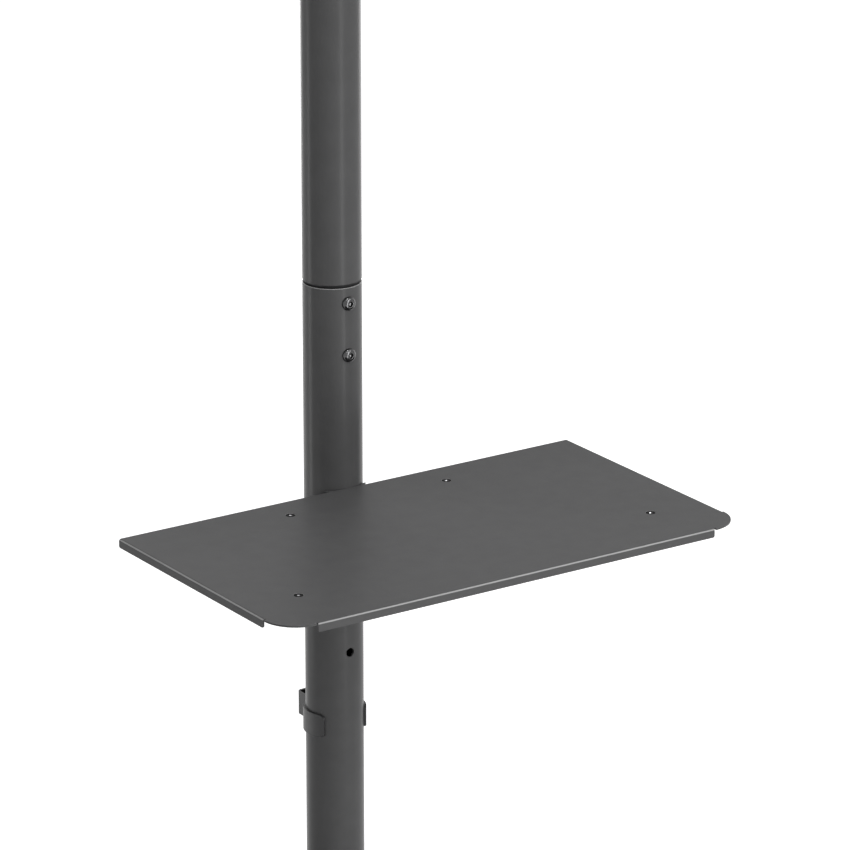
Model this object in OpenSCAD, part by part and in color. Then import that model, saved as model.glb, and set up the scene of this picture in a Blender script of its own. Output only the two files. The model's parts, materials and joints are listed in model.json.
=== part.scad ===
/* [Pole] */
// Outside diameter of the pole's two tubes
pole_d = 50; // [45:0.5:60]
// Wall of the pole's tubes
tube_wall = 2; // [1.5:0.1:3]
// Length of the lower tube, from the base to its top edge
lower_len = 752.1; // [700:0.1:850]
// Length of the upper tube above the joint
upper_len = 700; // [660:1:800]
// Groove left open between the two tubes, where the spigot shows
joint_groove = 3.1; // [1.5:0.1:5]
// Length of the upper tube's spigot inside the lower tube
spigot_len = 82; // [76:1:110]
// Radial clearance of the spigot in the lower tube
spigot_gap = 0.05; // [0.02:0.01:0.1]
// Small chamfer on the cut edges of the tubes
tube_chamfer = 0.4; // [0.1:0.1:0.8]
// Distance from the lower tube's top edge down to the upper joint screw
joint_screw_drop = 13.6; // [9:0.1:16]
// Spacing of the joint screws and of the shelf holes
hole_pitch = 45; // [36:0.5:50]
// Diameter of the shelf holes in the front of the lower tube
shelf_hole_d = 7.8; // [5:0.1:10]
// Number of shelf holes
shelf_hole_count = 4; // [2:1:5]
// Distance from the shelf's top face down to the first shelf hole
shelf_hole_drop = 13.7; // [10:0.1:20]

/* [Base] */
// Width of the base plate
base_w = 700; // [640:1:800]
// Depth of the base plate
base_d = 460; // [420:1:560]
// Height of the base's top face above the floor
base_h = 26; // [24:0.5:36]
// Sheet thickness of the base plate
base_sheet = 3; // [2.5:0.25:4]
// Outside radius of the base's folded edges
base_bend_r = 5; // [4.5:0.25:8]
// Height of the base's folded edges, from the top face down
base_flange_h = 18; // [12:0.5:20]
// Radius of the base's corners in plan
base_corner_r = 45; // [25:1:70]
// Distance from the middle of the base back to the pole's axis
pole_y = 85; // [50:1:110]
// Diameter of the rubber feet at the floor
foot_d = 40; // [30:1:50]
// Distance of the feet's centres from the edges of the base
foot_inset = 62; // [50:1:80]
// Width of the stiffening channel under the base
stiffener_w = 120; // [114:1:160]
// Sheet thickness of the stiffening channel
stiffener_sheet = 2.5; // [2:0.25:3]
// Height of the stiffening channel
stiffener_h = 14; // [12:0.5:16]
// Outside radius of the stiffening channel's bends
stiffener_bend_r = 4.5; // [3.5:0.25:5]
// Clear distance from the stiffening channel's ends to the base's edges
stiffener_inset = 30; // [20:1:60]
// Outside diameter of the flange at the pole's foot
flange_d = 104; // [100:1:112]
// Thickness of the flange at the pole's foot
flange_t = 6; // [5:0.5:8]
// Pitch circle of the four bolts at the pole's foot
base_bolt_pcd = 78; // [76:0.5:82]
// Height of the trim cover round the pole's foot
trim_h = 18; // [14:0.5:26]
// Wall of the trim cover
trim_wall = 2.2; // [1.5:0.1:3]

/* [Shelf] */
// Width of the shelf
shelf_w = 450; // [420:1:520]
// Depth of the shelf
shelf_d = 252.4; // [230:0.1:300]
// Distance from the lower tube's top edge down to the shelf's top face
shelf_drop = 175.6; // [150:0.1:260]
// Sheet thickness of the shelf
shelf_sheet = 1.5; // [1.2:0.1:2]
// Outside radius of the shelf's folded edges
shelf_bend_r = 2.1; // [2.05:0.05:3]
// Height of the shelf's folded edges, from the top face down
shelf_flange_h = 7.5; // [6:0.5:12]
// Radius of the shelf's front corners in plan
shelf_corner_r = 30; // [15:1:45]
// Length of the notch between a folded edge and a round corner
fold_relief = 1.6; // [0.8:0.1:3]
// Clearance between the shelf's back edge and the pole
shelf_gap = 0.4; // [0.3:0.1:2]
// Distance of the back screws from the shelf's centre line
back_screw_x = 78; // [70:0.5:84]
// Distance of the back screws from the shelf's back edge
back_screw_y = 29.9; // [24:0.1:36]
// Distance of the front screws from the shelf's centre line
front_screw_x = 173; // [150:0.5:180]
// Distance of the front screws from the shelf's front edge
front_screw_y = 61.2; // [50:0.1:80]
// Head diameter of the shelf's countersunk screws
csk_head_d = 8.2; // [7.6:0.1:9]
// Shank diameter of the shelf's countersunk screws
csk_shank_d = 4; // [3.5:0.1:5]

/* [Shelf bracket] */
// Length of the cross bar under the shelf's back edge
bar_w = 192; // [184:1:220]
// Depth of the cross bar
bar_d = 55; // [48:1:60]
// Sheet thickness of the cross bar
bar_sheet = 2.5; // [2:0.1:3]
// Height of the cross bar's rear edge
bar_h = 26; // [20:1:32]
// Height of the cross bar's front edge
bar_front_h = 18; // [12:1:24]
// Outside radius of the cross bar's bends
bar_bend_r = 4.5; // [3.5:0.25:6]
// Width of the arms that carry the front of the shelf
arm_w = 24; // [20:1:30]
// Sheet thickness of the arms
arm_sheet = 2; // [1.5:0.1:2.5]
// Height of the arms' folded edges
arm_h = 11; // [9:0.5:16]
// Place where an arm's middle meets the cross bar
arm_root_x = 62; // [40:1:70]
// Thickness of the clamp's two halves
clamp_t = 2.5; // [2:0.1:3.5]
// Height of the clamp round the pole
clamp_h = 44; // [40:1:48]
// Distance from the shelf's top face down to the top of the clamp's ears
ear_drop = 21; // [18:0.5:24]
// Gap between the ears of the two clamp halves
ear_gap = 7; // [4:0.5:10]
// Distance that the ears reach out past the pole's side
ear_reach = 16; // [14:0.5:20]
// Corner radius of the ears
ear_r = 5; // [2:0.5:7]
// Radial clearance of everything that slides or turns on the pole
slide_gap = 0.08; // [0.05:0.01:0.1]

/* [Cable clips] */
// Height of a cable clip
clip_h = 20.5; // [14:0.5:26]
// Wall of a cable clip
clip_wall = 2.1; // [1.6:0.1:3]
// Half angle of the clip's open front
clip_open_angle = 52; // [40:1:65]
// Distance from the shelf's top face down to the top of the upper clip
clip_drop = 205; // [195:1:240]
// Height of the lower clip's bottom edge above the floor
clip_low_z = 150; // [80:1:200]
// Width of the cable loop inside
loop_w = 14; // [10:0.5:18]
// Depth of the cable loop inside
loop_d = 18; // [12:0.5:24]
// Width of the slit that lets a cable into the loop
loop_slit = 1.6; // [1:0.1:3]

/* [Screws] */
// Shank diameter of the small screws
m6_d = 6; // [5:0.1:7]
// Head diameter of the small button screws
m6_head_d = 12; // [10:0.5:13]
// Head height of the small button screws
m6_head_h = 3.9; // [3:0.1:5]
// Width across the flats of the small nuts
m6_af = 10; // [9:0.5:11]
// Thickness of the small nuts
m6_nut_h = 5; // [4:0.5:6]
// Shank diameter of the large screws
m8_d = 8; // [7:0.1:9]
// Head diameter of the large button screws
m8_head_d = 14; // [12:0.5:16]
// Head height of the large button screws
m8_head_h = 4.4; // [4:0.1:6]
// Width across the flats of the large nuts and hexagon heads
m8_af = 13; // [12:0.5:14]
// Thickness of the large nuts
m8_nut_h = 6.5; // [5:0.5:8]
// Radial clearance of a screw in its hole
screw_gap = 0.25; // [0.15:0.05:0.4]
// Radial clearance left between a screw and its nut
thread_gap = 0.05; // [0.02:0.01:0.1]

/* [Swivel and tilt] */
// Distance from the top of the pole down to the mount's middle
mount_drop = 141.2; // [125:0.1:160]
// Height of the clamp collar that carries the mount
collar_h = 28; // [24:1:36]
// Wall of the clamp collar
collar_wall = 9; // [8:0.5:12]
// Slit of the clamp collar
collar_slit = 4; // [2:0.5:6]
// Thickness of the plain washer between collar and sleeve
thrust_t = 2; // [1.5:0.1:3]
// Height of the swivel sleeve
sleeve_h = 130; // [110:1:150]
// Wall of the swivel sleeve
sleeve_wall = 3.5; // [3:0.1:5]
// Wall of the plastic bushes in the sleeve
bush_wall = 2.4; // [2:0.1:4]
// Height of a bush
bush_h = 22; // [15:1:30]
// Swivel to each side, in degrees
swivel_angle = 30; // [10:1:45]
// Thickness of the sleeve's two ears
head_ear_t = 4; // [3:0.5:6]
// Distance from the sleeve's front to the tilt axis
tilt_reach = 34; // [32:1:50]
// Radius of the ears round the tilt axis
tilt_ear_r = 33; // [31:0.5:36]
// Height of the ears where they meet the sleeve
ear_root_h = 96; // [84:1:104]
// Radius at which the tilt lock screws run in their slots
tilt_lock_r = 23; // [19:0.5:25]
// Forward tilt in degrees
tilt_forward = 15; // [5:1:20]
// Backward tilt in degrees
tilt_back = 5; // [0:1:10]
// Gap between an ear and the tilt bracket, filled by a plain washer
tilt_gap = 1; // [0.8:0.1:2]
// Thickness of the tilt bracket
tilt_sheet = 4; // [3:0.5:5]
// Outside radius of the tilt bracket's bends
tilt_bend_r = 7; // [6:0.5:8]
// Height of the tilt bracket's front
tilt_web_h = 120; // [100:1:150]

/* [Screen bracket] */
// Width of the centre plate
plate_w = 240; // [220:1:300]
// Height of the centre plate
plate_h = 280; // [270:1:320]
// Sheet thickness of the centre plate
plate_sheet = 3; // [2:0.25:4]
// Corner radius of the centre plate
plate_r = 18; // [8:1:30]
// Depth of the centre plate's folded sides, from its front face back
plate_flange_h = 12; // [8:0.5:16]
// Outside radius of the centre plate's folded sides
plate_bend_r = 5; // [4.5:0.25:7]
// Length of the two rails
rail_w = 620; // [560:1:640]
// Height of a rail
rail_h = 44; // [36:1:48]
// Depth of a rail
rail_depth = 14; // [12:0.5:20]
// Sheet thickness of the rails and the screen arms
rail_sheet = 2.5; // [2:0.1:3]
// Outside radius of the bends of the rails and the screen arms
rail_bend_r = 4.5; // [3.5:0.25:6]
// Thickness of the face of a rail's end cap
rail_cap_t = 2; // [1.5:0.25:4]
// Distance of each rail's middle from the mount's middle
rail_z = 110; // [104:1:116]
// Distance of each screen arm's middle from the centre line
screen_x = 200; // [160:1:240]
// Height of the screen's hole pattern
screen_pitch = 400; // [390:1:420]
// Diameter of the screen arms' holes
screen_hole_d = 8.4; // [6.4:0.1:9]
// Spacing of the holes in the screen arms
screen_hole_step = 50; // [40:1:60]
// Width of a screen arm
screen_arm_w = 32; // [28:1:40]
// Depth of a screen arm
screen_arm_d = 25; // [20:1:32]
// Length of a screen arm past its outermost hole
screen_arm_end = 20; // [14:1:30]

/* [Hidden] */
$fn = 72;

// Colours
coat = [0.30, 0.30, 0.31];
coat_dark = [0.24, 0.24, 0.25];
black = [0.08, 0.08, 0.09];
rubber = [0.06, 0.06, 0.06];
nylon = [0.16, 0.16, 0.17];
zinc = [0.45, 0.45, 0.46];

// One overrun serves all cuts
cut = 1;
// Radial clearance of a fixed plastic or welded piece on the pole
seat_gap = 0.05;
// Flat clearance between faces that turn on each other
face_gap = 0.1;
// Lap of a folded edge into the flat sheet beside it
fold_lap = 0.5;

// Pole
pole_r = pole_d / 2;
bore_r = pole_r - tube_wall;
spigot_r = bore_r - spigot_gap;
spigot_bore_r = spigot_r - tube_wall;
lower_top = base_h + lower_len;
upper_bottom = lower_top + joint_groove;
pole_top = upper_bottom + upper_len;
// The spigot starts to widen a third of the way up the groove
swage_start_share = 0.33;
swage_z = lower_top + joint_groove * swage_start_share;
joint_screw_z = [lower_top - joint_screw_drop, lower_top - joint_screw_drop - hole_pitch];
nut_bar_w = 2 * m6_d;
nut_bar_t = m6_d;
nut_bar_end = m6_d + tube_wall;
slide_r = pole_r + slide_gap;

// Pole cap
cap_h = 7;
cap_plug_h = 22;
cap_plug_wall = 2;
cap_rim_h = 2;
cap_rib_w = 2;

// Base
base_under = base_h - base_sheet;
foot_top_d = foot_d * 0.8;
foot_screw_d = 5;
foot_screw_head_d = 10;
foot_screw_head_h = 3;
foot_recess_h = base_under / 2;
foot_screw_skin = 0.6;
washer_t = 1.5;
bolt_head_h = 5.3;
foot_x = base_w / 2 - foot_inset;
foot_y = base_d / 2 - foot_inset;
stiffener_len = base_d - 2 * stiffener_inset;
stiffener_foot_w = 14;
trim_gap = 0.3;
trim_clear = 0.6;
trim_skirt = flange_d / 2 + trim_clear + trim_wall;

// Shelf, seen from the pole's axis
shelf_z = lower_top - shelf_drop;
shelf_back = -(pole_r + shelf_gap);
shelf_front = shelf_back - shelf_d;
shelf_under = shelf_z - shelf_sheet;
screw_points = [
    [-front_screw_x, shelf_front + front_screw_y], [front_screw_x, shelf_front + front_screw_y],
    [-back_screw_x, shelf_back - back_screw_y], [back_screw_x, shelf_back - back_screw_y]
];
csk_gap = 0.05;
csk_h = (csk_head_d - csk_shank_d) / 2;
csk_nut_af = csk_shank_d * 1.75;
csk_nut_h = csk_shank_d * 0.8;
csk_tip = csk_shank_d / 4;

// Bracket and clamp
bar_front = shelf_back - bar_d;
clamp_r = slide_r + clamp_t;
clamp_bottom = shelf_under - clamp_h;
ear_top = shelf_z - ear_drop;
ear_h = ear_top - clamp_bottom;
ear_x = pole_r + ear_reach;
ear_bolt_x = clamp_r + (ear_x - clamp_r) * 0.5;
ear_bolt_z = clamp_bottom + ear_h / 2;
// The saddle stays tall over the middle of the pole's front
saddle_angle = 50;
saddle_y = -clamp_r * cos(saddle_angle);
clamp_bolt_d = 6;
clamp_head_d = 10;

// Cable clip
clip_in_r = pole_r + seat_gap;
clip_r = clip_in_r + clip_wall;
clip_round = clip_h / 4;
loop_corner = clip_wall * 2.5;

// Swivel and tilt, seen from the mount's middle
mount_z = pole_top - mount_drop;
collar_r = slide_r + collar_wall;
collar_chamfer = 1;
lug_w = 26;
lug_reach = 2.2 * m8_d;
lug_y = collar_r + lug_reach / 2;
sleeve_bottom = -sleeve_h / 2;
collar_top = sleeve_bottom - thrust_t;
collar_mid = collar_top - collar_h / 2;
bush_r = slide_r + bush_wall;
sleeve_bore = bush_r + seat_gap;
sleeve_r = sleeve_bore + sleeve_wall;
bush_lip = 2;
stop_pin_d = 2.4;
stop_pin_r = (sleeve_bore + sleeve_r) / 2;
stop_pin_reach = 8;
stop_slot_h = 10;
stop_slot_gap = 0.4;
stop_slot_angle = swivel_angle + asin((stop_pin_d / 2 + stop_slot_gap) / stop_pin_r);
lock_boss_d = 18;
lock_boss_h = 9;
lock_tip_gap = 0.3;
ear_in_x = sleeve_r - head_ear_t - thrust_t;
ear_out_x = ear_in_x + head_ear_t;
tilt_y = -(sleeve_r + tilt_reach);
cheek_x = ear_out_x + tilt_gap;
cheek_out_x = cheek_x + tilt_sheet;
// The bracket's front plate clears the ears' round ends
tilt_web_y = tilt_y - tilt_ear_r - tilt_sheet;
web_front = tilt_web_y - tilt_sheet;
cheek_r = tilt_lock_r + m6_d;
pivot_r = m8_d / 2;
pivot_gap = 0.08;
lock_slot_r = m6_d / 2 + screw_gap;
washer_r = m8_d;
web_bolt_x = cheek_x / 2;
web_bolt_z = tilt_web_h / 2 - m6_head_d;

// Screen bracket
plate_front = web_front - plate_sheet;
rail_front = plate_front - rail_depth;
rail_bolt_x = plate_w / 2 - m6_head_d * 1.5;
rail_slot_len = rail_h;
rail_cap_plug = 12;
arm_seat_gap = 0.1;
arm_front = rail_front - arm_seat_gap - screen_arm_d;
screen_top = screen_pitch / 2 + screen_arm_end;
arm_chamfer = 9;
hook_t = 8;
hook_bevel = 2;
hook_drop = 14;
hook_gap = 0.3;
lock_tab_r = 7;
lock_y = rail_front + rail_depth / 2;
lock_z = -(rail_z + rail_h / 2 + hook_gap + m6_af / 2 / cos(30));

// Places shared by several pieces
module at_pole() translate([0, pole_y, 0]) children();
module at_mount() translate([0, pole_y, mount_z]) children();
module both_sides() for (side = [0, 1]) mirror([side, 0, 0]) children();
module forward() rotate([90, 0, 0]) children();

// Rectangle with round corners, centred, from squares and circles
module round_rect(w, h, r) {
    square([w - 2 * r, h], center = true);
    square([w, h - 2 * r], center = true);
    for (x = [-1, 1], y = [-1, 1]) translate([x * (w / 2 - r), y * (h / 2 - r)]) circle(r);
}

// Slot along X, centred, with round ends
module slot_shape(len, w) {
    square([len - w, w], center = true);
    for (x = [-1, 1]) translate([x * (len - w) / 2, 0]) circle(w / 2);
}

// Cross-section of a folded edge: the outer face at x = 0 and the top face at y = 0
module fold_section(sheet, flange_h, bend_r) {
    translate([-bend_r, -bend_r]) intersection() {
        difference() {
            circle(bend_r);
            circle(bend_r - sheet);
        }
        square(bend_r);
    }
    translate([-sheet, -flange_h]) square([sheet, flange_h - bend_r]);
    translate([-bend_r - fold_lap, -sheet]) square([fold_lap, sheet]);
}

// Folded edge that runs along +Y from the origin, with its outer face at x = 0
module folded_edge(len, sheet, flange_h, bend_r)
    translate([0, len, 0]) forward() linear_extrude(len) fold_section(sheet, flange_h, bend_r);

// Filled outline of a bent channel: flat at y = d, with its two corners at y = 0 rounded
module channel_outline(w, d, bend_r) {
    translate([-w / 2, bend_r]) square([w, d - bend_r]);
    translate([bend_r - w / 2, 0]) square([w - 2 * bend_r, d]);
    for (x = [-1, 1]) translate([x * (w / 2 - bend_r), bend_r]) circle(bend_r);
}

// Cross-section of a bent channel: its web's outer face at y = 0, its walls towards +Y
module channel_section(w, d, sheet, bend_r) difference() {
    channel_outline(w, d, bend_r);
    translate([0, sheet]) channel_outline(w - 2 * sheet, d, bend_r - sheet);
}

// Disc on the face z = 0 with both of its rims chamfered
module chamfered_disc(r, h, chamfer) rotate_extrude() polygon([
    [0, 0], [r - chamfer, 0], [r, chamfer], [r, h - chamfer], [r - chamfer, h], [0, h]
]);

// Button head on the face z = 0 with its shank below
module button_screw(d, head_d, head_h, len) {
    rim_h = head_h / 5;
    dome_h = head_h - rim_h;
    dome_r = (pow(head_d / 2, 2) + pow(dome_h, 2)) / (2 * dome_h);
    socket_af = d * 2 / 3;
    difference() {
        intersection() {
            translate([0, 0, head_h - dome_r]) sphere(dome_r);
            cylinder(h = head_h, d = head_d);
        }
        translate([0, 0, head_h / 3]) cylinder(h = head_h, d = socket_af / cos(30), $fn = 6);
    }
    translate([0, 0, -len]) cylinder(h = len, d = d);
}

// Hexagon head on the face z = 0 with its shank below
module hex_screw(d, af, head_h, len) {
    cylinder(h = head_h, d = af / cos(30), $fn = 6);
    translate([0, 0, -len]) cylinder(h = len, d = d);
}

// Hexagon nut on the face z = 0
module hex_nut(af, h, d) difference() {
    cylinder(h = h, d = af / cos(30), $fn = 6);
    translate([0, 0, -cut]) cylinder(h = h + 2 * cut, d = d + 2 * thread_gap);
}

// Flat ring on the face z = 0
module ring(outer_r, inner_r, h) difference() {
    cylinder(h = h, r = outer_r);
    translate([0, 0, -cut]) cylinder(h = h + 2 * cut, r = inner_r);
}

// Hole along Z through everything near z = 0
module z_hole(d, reach) translate([0, 0, -reach]) cylinder(h = 2 * reach, d = d);

// Base
module base_outline() round_rect(base_w, base_d, base_corner_r);

module base_plate() color(coat) {
    long_x = base_w - 2 * base_corner_r - 2 * fold_relief;
    long_y = base_d - 2 * base_corner_r - 2 * fold_relief;
    difference() {
        translate([0, 0, base_under]) linear_extrude(base_sheet) difference() {
            base_outline();
            for (y = [-1, 1]) translate([0, y * (base_d / 2)])
                square([long_x + 2 * fold_relief, 2 * base_bend_r], center = true);
            for (x = [-1, 1]) translate([x * (base_w / 2), 0])
                square([2 * base_bend_r, long_y + 2 * fold_relief], center = true);
        }
        at_pole() base_bolt_places() translate([0, 0, base_under])
            z_hole(m8_d + 2 * screw_gap, base_sheet + cut);
        foot_places() translate([0, 0, base_under - cut])
            cylinder(h = base_sheet + cut - foot_screw_skin, d = foot_screw_d + 2 * thread_gap);
    }
    for (turn = [0, 180]) rotate(turn) {
        translate([base_w / 2, -long_y / 2, base_h])
            folded_edge(long_y, base_sheet, base_flange_h, base_bend_r);
        translate([long_x / 2, base_d / 2, base_h]) rotate(90)
            folded_edge(long_x, base_sheet, base_flange_h, base_bend_r);
    }
}

module base_bolt_places() for (turn = [45:90:315]) rotate(turn) translate([base_bolt_pcd / 2, 0, 0])
    children();
module foot_places() for (x = [-1, 1], y = [-1, 1]) translate([x * foot_x, y * foot_y, 0]) children();

module base_stiffener() color(coat_dark) difference() {
    wall_h = stiffener_h - stiffener_bend_r;
    translate([0, stiffener_len / 2, base_under]) forward() linear_extrude(stiffener_len) {
        translate([stiffener_bend_r - stiffener_w / 2, -stiffener_sheet])
            square([stiffener_w - 2 * stiffener_bend_r, stiffener_sheet]);
        for (x = [0, 1]) mirror([x, 0]) {
            translate([stiffener_w / 2, 0]) fold_section(stiffener_sheet, wall_h, stiffener_bend_r);
            translate([stiffener_w / 2 - stiffener_sheet, -stiffener_h]) {
                rotate(180) fold_section(stiffener_sheet, wall_h, stiffener_bend_r);
                translate([stiffener_bend_r, 0])
                    square([stiffener_foot_w + stiffener_sheet - stiffener_bend_r, stiffener_sheet]);
            }
        }
    }
    at_pole() base_bolt_places() translate([0, 0, base_under]) z_hole(m8_d + 2 * screw_gap, stiffener_h);
}

module base_feet() color(rubber) foot_places() difference() {
    cylinder(h = base_under, d1 = foot_d, d2 = foot_top_d);
    translate([0, 0, -cut]) cylinder(h = foot_recess_h + cut, d = foot_screw_head_d + 2 * screw_gap);
    cylinder(h = base_under + cut, d = foot_screw_d + 2 * thread_gap);
}

module foot_screws() color(zinc) foot_places() translate([0, 0, foot_recess_h]) rotate([180, 0, 0])
    button_screw(foot_screw_d, foot_screw_head_d, foot_screw_head_h,
        base_h - foot_screw_skin * 2 - foot_recess_h);

module tube_foot() color(coat_dark) at_pole() translate([0, 0, base_h]) difference() {
    ring(flange_d / 2, pole_r + seat_gap, flange_t);
    base_bolt_places() z_hole(m8_d + 2 * thread_gap, flange_t + cut);
}

module base_washers() color(zinc) at_pole() base_bolt_places()
    translate([0, 0, base_under - stiffener_sheet - washer_t]) ring(m8_d, m8_d / 2 + screw_gap, washer_t);

module base_bolts() color(zinc) at_pole() base_bolt_places()
    translate([0, 0, base_under - stiffener_sheet - washer_t]) rotate([180, 0, 0])
        hex_screw(m8_d, m8_af, bolt_head_h,
            washer_t + stiffener_sheet + base_sheet + flange_t - foot_screw_skin);

// Half-section of the trim cover, from the pole outwards
module trim_section(skirt, h, neck) {
    round_r = h / 2;
    translate([neck, 0]) square([skirt - round_r - neck, h]);
    square_h = h - round_r;
    translate([neck, 0]) square([skirt - neck, square_h]);
    translate([skirt - round_r, square_h]) intersection() {
        circle(round_r);
        square(round_r);
    }
}

module foot_trim() color(black) at_pole() translate([0, 0, base_h]) difference() {
    rotate_extrude() trim_section(trim_skirt, trim_h, pole_r + trim_gap);
    translate([0, 0, -cut]) rotate_extrude()
        trim_section(trim_skirt - trim_wall, trim_h - trim_wall + cut, 0);
    // The neck keeps only its thin top, so that the pole passes with room to spare
    translate([0, 0, -cut]) cylinder(h = trim_h + 2 * cut, r = pole_r + trim_gap);
}

// Pole
module lower_tube() color(coat) at_pole() difference() {
    rotate_extrude() polygon([
        [bore_r, base_h], [pole_r, base_h],
        [pole_r, lower_top - tube_chamfer], [pole_r - tube_chamfer, lower_top], [bore_r, lower_top]
    ]);
    for (z = joint_screw_z) translate([0, 0, z]) forward() cylinder(h = pole_d, d = m6_d + 2 * screw_gap);
    for (i = [0:shelf_hole_count - 1]) translate([0, 0, shelf_z - shelf_hole_drop - i * hole_pitch])
        forward() cylinder(h = pole_d, d = shelf_hole_d);
}

module upper_tube() color(coat) at_pole() difference() {
    rotate_extrude() polygon([
        [spigot_bore_r, lower_top - spigot_len], [spigot_r, lower_top - spigot_len],
        [spigot_r, swage_z], [pole_r - tube_chamfer, upper_bottom - tube_chamfer],
        [pole_r, upper_bottom], [pole_r, pole_top], [bore_r, pole_top],
        [bore_r, upper_bottom + tube_wall], [spigot_bore_r, swage_z + tube_wall]
    ]);
    for (z = joint_screw_z) translate([0, 0, z]) forward() cylinder(h = pole_d, d = m6_d + 2 * screw_gap);
}

module joint_screws() color(black) at_pole() for (z = joint_screw_z) translate([0, -pole_r, z]) forward()
    button_screw(m6_d, m6_head_d, m6_head_h, tube_wall * 2 + nut_bar_t);

module joint_nut_bar() color(zinc) at_pole() difference() {
    bar_len = hole_pitch + 2 * nut_bar_end;
    translate([0, 0, joint_screw_z[1] - nut_bar_end]) intersection() {
        cylinder(h = bar_len, r = spigot_bore_r - seat_gap);
        translate([-nut_bar_w / 2, -spigot_bore_r, 0]) cube([nut_bar_w, nut_bar_t, bar_len]);
    }
    for (z = joint_screw_z) translate([0, 0, z]) forward() cylinder(h = pole_d, d = m6_d + 2 * thread_gap);
}

module pole_cap() color(black) at_pole() translate([0, 0, pole_top]) {
    dome_h = cap_h - cap_rim_h;
    dome_r = (pow(pole_r, 2) + pow(dome_h, 2)) / (2 * dome_h);
    intersection() {
        cylinder(h = cap_h, r = pole_r);
        translate([0, 0, cap_h - dome_r]) sphere(dome_r);
    }
    plug_r = bore_r - trim_gap;
    translate([0, 0, -cap_plug_h]) ring(plug_r, plug_r - cap_plug_wall, cap_plug_h);
    for (turn = [0:60:300]) rotate(turn) translate([plug_r - cap_plug_wall, -cap_rib_w / 2, -cap_plug_h])
        cube([cap_plug_wall + trim_gap - seat_gap, cap_rib_w, cap_plug_h]);
}

// Snap-on clip, open to the front, with a cable loop behind
module cable_clip() color(black) {
    loop_out = loop_w + 2 * clip_wall;
    intersection() {
        difference() {
            linear_extrude(clip_h) difference() {
                union() {
                    circle(clip_r);
                    translate([0, clip_in_r + (loop_d + 2 * clip_wall) / 2])
                        round_rect(loop_out, loop_d + 2 * clip_wall, loop_corner);
                }
                circle(clip_in_r);
                translate([0, clip_r + loop_d / 2]) round_rect(loop_w, loop_d, clip_wall);
                polygon([
                    [0, 0], [-clip_r * tan(clip_open_angle), -clip_r], [-clip_r * 2, -clip_r * 2],
                    [clip_r * 2, -clip_r * 2], [clip_r * tan(clip_open_angle), -clip_r]
                ]);
            }
            translate([loop_w / 2 - cut, clip_r + loop_d - clip_wall - loop_slit, -cut])
                cube([clip_wall + 2 * cut, loop_slit, clip_h + 2 * cut]);
        }
        // Round ends of the two arms, seen from the side
        side_y = -clip_r * cos(clip_open_angle);
        side_len = clip_r + loop_d + 2 * clip_wall - side_y + clip_round;
        translate([-clip_r - cut, side_y + side_len / 2, clip_h / 2]) rotate([90, 0, 90])
            linear_extrude(2 * clip_r + 2 * cut) round_rect(side_len, clip_h, clip_round);
    }
}

module cable_clip_upper() at_pole() translate([0, 0, shelf_z - clip_drop - clip_h]) cable_clip();
module cable_clip_lower() at_pole() translate([0, 0, clip_low_z]) cable_clip();

// Shelf
module shelf_outline() {
    side_d = shelf_d - shelf_corner_r;
    translate([-shelf_w / 2, shelf_back - side_d]) square([shelf_w, side_d]);
    translate([-shelf_w / 2 + shelf_corner_r, shelf_front])
        square([shelf_w - 2 * shelf_corner_r, shelf_corner_r]);
    for (x = [-1, 1]) translate([x * (shelf_w / 2 - shelf_corner_r), shelf_front + shelf_corner_r])
        circle(shelf_corner_r);
}

module shelf_plate() color(coat) at_pole() {
    side_len = shelf_d - shelf_corner_r - fold_relief;
    front_len = shelf_w - 2 * shelf_corner_r - 2 * fold_relief;
    difference() {
        translate([0, 0, shelf_under]) linear_extrude(shelf_sheet) difference() {
            shelf_outline();
            for (x = [-1, 1]) translate([x * shelf_w / 2,
                shelf_back + cut - (side_len + fold_relief + cut) / 2])
                square([2 * shelf_bend_r, side_len + fold_relief + cut], center = true);
            translate([0, shelf_front]) square([front_len + 2 * fold_relief, 2 * shelf_bend_r],
                center = true);
        }
        for (p = screw_points) translate([p[0], p[1], shelf_z]) csk_hole();
    }
    for (x = [0, 1]) mirror([x, 0, 0]) translate([shelf_w / 2, shelf_back - side_len, shelf_z])
        folded_edge(side_len, shelf_sheet, shelf_flange_h, shelf_bend_r);
    translate([-front_len / 2, shelf_front, shelf_z]) rotate(-90)
        folded_edge(front_len, shelf_sheet, shelf_flange_h, shelf_bend_r);
}

// Countersunk hole from the top face z = 0 down
module csk_hole() {
    z_hole(csk_shank_d + 2 * screw_gap, bar_h);
    translate([0, 0, -csk_h - csk_gap])
        cylinder(h = csk_h, d1 = csk_shank_d + 2 * csk_gap, d2 = csk_head_d + 2 * csk_gap);
    translate([0, 0, -csk_gap]) cylinder(h = cut, d = csk_head_d + 2 * csk_gap);
}

module shelf_screws() color(black) at_pole() for (p = screw_points) translate([p[0], p[1], shelf_z]) {
    web = p[1] < bar_front ? arm_sheet : bar_sheet;
    len = shelf_sheet + web + csk_nut_h + csk_tip;
    difference() {
        translate([0, 0, -csk_h - csk_gap]) cylinder(h = csk_h, d1 = csk_shank_d, d2 = csk_head_d);
        translate([0, 0, -csk_h * 0.75]) cylinder(h = csk_h, d = csk_shank_d * 0.65 / cos(30), $fn = 6);
    }
    translate([0, 0, -len]) cylinder(h = len - csk_h - csk_gap, d = csk_shank_d);
}

module shelf_nuts() color(zinc) at_pole() for (p = screw_points) {
    web = p[1] < bar_front ? arm_sheet : bar_sheet;
    translate([p[0], p[1], shelf_under - web - csk_nut_h]) hex_nut(csk_nut_af, csk_nut_h, csk_shank_d);
}

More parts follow.
